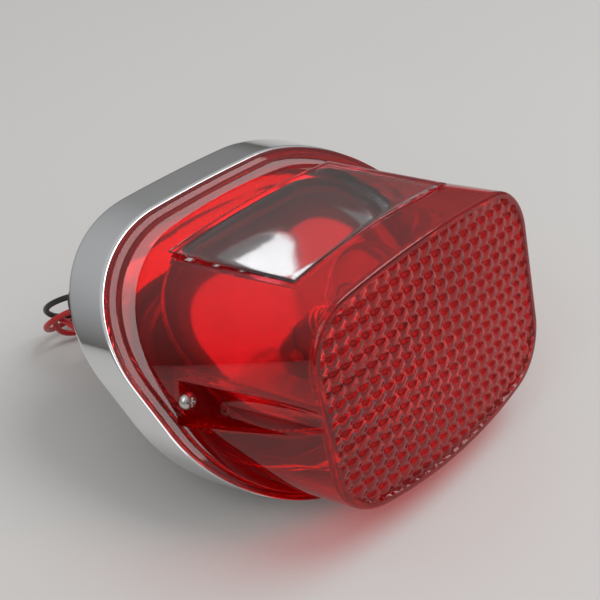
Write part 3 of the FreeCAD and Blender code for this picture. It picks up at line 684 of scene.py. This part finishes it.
def face_outwards(window):
    """Top and rim of the window look up, its underside looks down."""
    shape = bmesh.new()
    shape.from_mesh(window.data)
    back = LENS_FRAME.inverted()
    upper, lower = [], []
    for face in shape.faces:
        x, y, z = back @ face.calc_center_median()
        (upper if z > top_height(x, y) - 1.5 else lower).append(face)
    for faces, sign in ((upper, 1), (lower, -1)):
        if sign * sum(face.normal.z for face in faces) < 0:
            bmesh.ops.reverse_faces(shape, faces=faces)
    shape.to_mesh(window.data)
    shape.free()


def make_screw(side, name):
    """Pan-head screw with a cross recess."""
    place = LENS_FRAME @ Matrix.Translation((side * SCREW_X, SEAT_Y - 2.3, SCREW_Z))
    head = [(0, 0.0), (0.9, 0.03), (1.7, 0.22), (2.35, 0.65), (2.7, 1.2), (2.8, 1.7), (2.8, 2.05),
            (2.7, 2.2), (1.5, 2.2), (1.5, 19.4), (1.2, 20.1), (0, 20.2)]
    screw = lathe(name + "_detail", head, place, None, ZINC, 48)
    cutters = []
    for turn in (0.4, 0.4 + math.pi / 2):
        arms = [(-1.55, -0.32), (1.55, -0.32), (1.55, 0.32), (-1.55, 0.32)]
        rows = [[(x * grow, y, z * grow) for x, z in arms] for y, grow in ((-0.5, 1.15), (1.25, 0.45))]
        verts, faces = skin(rows)
        faces += [(0, 1, 2, 3), (4, 5, 6, 7)]
        cutters.append(new_object("arm", verts, faces, place @ Matrix.Rotation(turn, 4, "Y"), None, ZINC))
    carve(screw, cutters)
    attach(screw, name.replace("lens_", ""))
    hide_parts(name)


# ---------------------------------------------------------------- housing and inside

def make_housing():
    """Chrome housing: rolled front rim, flared side, closed back and the inner ledge."""
    depth, wall, over, flare = 13.7, 1.5, 0.9, 1.3
    ledge_inset, ledge_front, ledge_back = 6.0, 2.7, 4.2
    floor = depth - wall / math.cos(BASE_SLOPE)

    def side(offset, inward=0.0):
        return on_base(inward - over - flare * offset / depth, offset)

    rows = [side(0.7, wall), side(0.35, wall - 0.1), side(0.12, wall - 0.3), side(0.0, wall - 0.6),
            side(0.0, 0.55), side(0.1, 0.28), side(0.3, 0.08), side(0.6, 0.0)]
    rows += [side(offset) for offset in np.linspace(1.0, depth - 0.5, 16)]
    rows += [side(depth - 0.25, 0.04), side(depth - 0.08, 0.2), side(depth, 0.5)]
    inside = [side(floor, wall + 0.8), side(floor - 0.3, wall + 0.2), side(floor - 0.8, wall)]
    inside += [side(offset, wall) for offset in np.linspace(floor - 1.5, 0.7, 10)]
    outer_verts, outer_faces = skin(rows)
    count = len(rows[0])
    last = len(outer_verts) - count
    outer_faces.append(tuple(range(last, last + count)))
    verts, faces = skin(inside)
    faces.append(tuple(range(count)))
    start = len(outer_verts)
    verts = outer_verts + verts
    faces = outer_faces + [tuple(start + i for i in face) for face in faces]
    ledge = [on_base(0.2, ledge_front), on_base(ledge_inset, ledge_front), on_base(ledge_inset, ledge_back),
             on_base(0.2, ledge_back)]
    more, quads = skin(ledge)
    start = len(verts)
    verts = verts + more
    faces += [tuple(start + i for i in quad) for quad in quads]
    housing = new_object("housing_shell", verts, faces, LENS_FRAME, "housing", CHROME, 30)
    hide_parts("chrome_housing")
    for side_sign, label in ((-1, "left"), (1, "right")):
        centre = (side_sign * SCREW_X, SCREW_Z)
        boss = bar("screw_boss_" + label, centre, 4.2, 51.5, 64.2, CHROME, "housing")


def make_dish():
    """Plated bowl behind the bulb, from the socket hole over its floor and up its curved side."""
    floor_inset, floor_y = 32.0, 5.0
    side_width, side_height = 14.5, 8.6

    def ring(inset, y):
        flat = outline(FLANGE, inset)
        return np.column_stack([flat[:, 0], np.full(len(flat), y), flat[:, 1]])

    def hole(y, radius=9.1):
        flat = outline(FLANGE, floor_inset) - (0, SOCKET_HEIGHT)
        flat = flat / np.hypot(*flat.T)[:, None] * radius + (0, SOCKET_HEIGHT)
        return np.column_stack([flat[:, 0], np.full(len(flat), y), flat[:, 1]])

    rise = np.radians(np.linspace(0, 90, 20))
    side = [(floor_inset - side_width * math.sin(a), floor_y - side_height * (1 - math.cos(a)))
            for a in rise]
    front = [hole(floor_y), hole(floor_y, 9.6)] + [ring(inset, y) for inset, y in side]
    back = [ring(17.0, -3.5)] + [ring(inset - 0.5, y + 0.8) for inset, y in side[::-1]] + [hole(5.9)]
    verts, faces = skin(front + back + [hole(floor_y)])
    dish = new_object("dish", verts, faces, BASE_FRAME, "housing", MIRROR, 40)
    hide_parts("reflector_dish")


def make_bulb():
    """Glass envelope of the bulb; the rest of the bulb is the CAD's own."""
    ball, centre, neck, wall = 12.5, -28.5, 6.7, 0.8

    def side(inset, stop):
        reach = ball - inset
        join = math.asin((neck - inset) / reach)
        points = [(reach * math.sin(a), centre - reach * math.cos(a))
                  for a in np.linspace(0, math.pi - join, 40)]
        return [(0, centre - reach)] + points[1:] + [(neck - inset, stop)]

    profile = side(0, -6.0) + side(wall, -6.0)[::-1]
    glass = lathe("bulb_envelope", profile, SOCKET_FRAME, "bulb", GLASS, 64)
    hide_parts("bulb_glass")


SPRING_FRONT, SPRING_BACK = 9.9, 15.4
SPRING_RADIUS, SPRING_WIRE, SPRING_TURNS = 5.9, 0.4, 4.0


def make_spring():
    """Coil behind the plunger."""
    length = SPRING_BACK - SPRING_FRONT - 2 * SPRING_WIRE
    along = np.array([0.0, 1.0, 0.0])
    rows = []
    for share in np.linspace(0, 1, 161):
        turn = 2 * math.pi * SPRING_TURNS * share
        out = np.array([math.cos(turn), 0, -math.sin(turn)])
        centre = SPRING_RADIUS * out + (SPRING_FRONT + SPRING_WIRE + length * share) * along
        rows.append([centre + SPRING_WIRE * (math.cos(a) * out + math.sin(a) * along)
                     for a in np.linspace(0, 2 * math.pi, 12, endpoint=False)])
    verts, faces = skin(rows)
    faces += [tuple(range(12)), tuple(range(len(verts) - 12, len(verts)))]
    coil = new_object("contact_coil", verts, faces, SOCKET_FRAME, "housing", STEEL, 60)
    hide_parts("contact_spring")
    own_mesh(coil)


NODE_MATERIALS = {
    "lens_gasket": RUBBER, "mount_pad": RUBBER, "mount_studs": ZINC, "socket_shell": STEEL,
    "socket_rivets": ZINC, "contact_plunger": BAKELITE, "socket_contacts": BRASS,
    "bulb_base": BRASS, "bulb_insulator": BAKELITE, "bulb_contact_pads": SOLDER, "bulb_stem": GLASS,
    "bulb_filaments": TUNGSTEN, "bulb_filament_supports": TUNGSTEN, "lead_grommet": RUBBER,
}


def dress_nodes():
    """Give every CAD node that is still shown its detailed material."""
    for name, mat in NODE_MATERIALS.items():
        obj = frame["nodes"][name]
        obj.data.materials.clear()
        obj.data.materials.append(mat)


make_studio()
make_leads()
make_lens()
make_window()
make_screw(-1, "lens_screw_left")
make_screw(1, "lens_screw_right")
make_housing()
make_dish()
make_bulb()
make_spring()
dress_nodes()
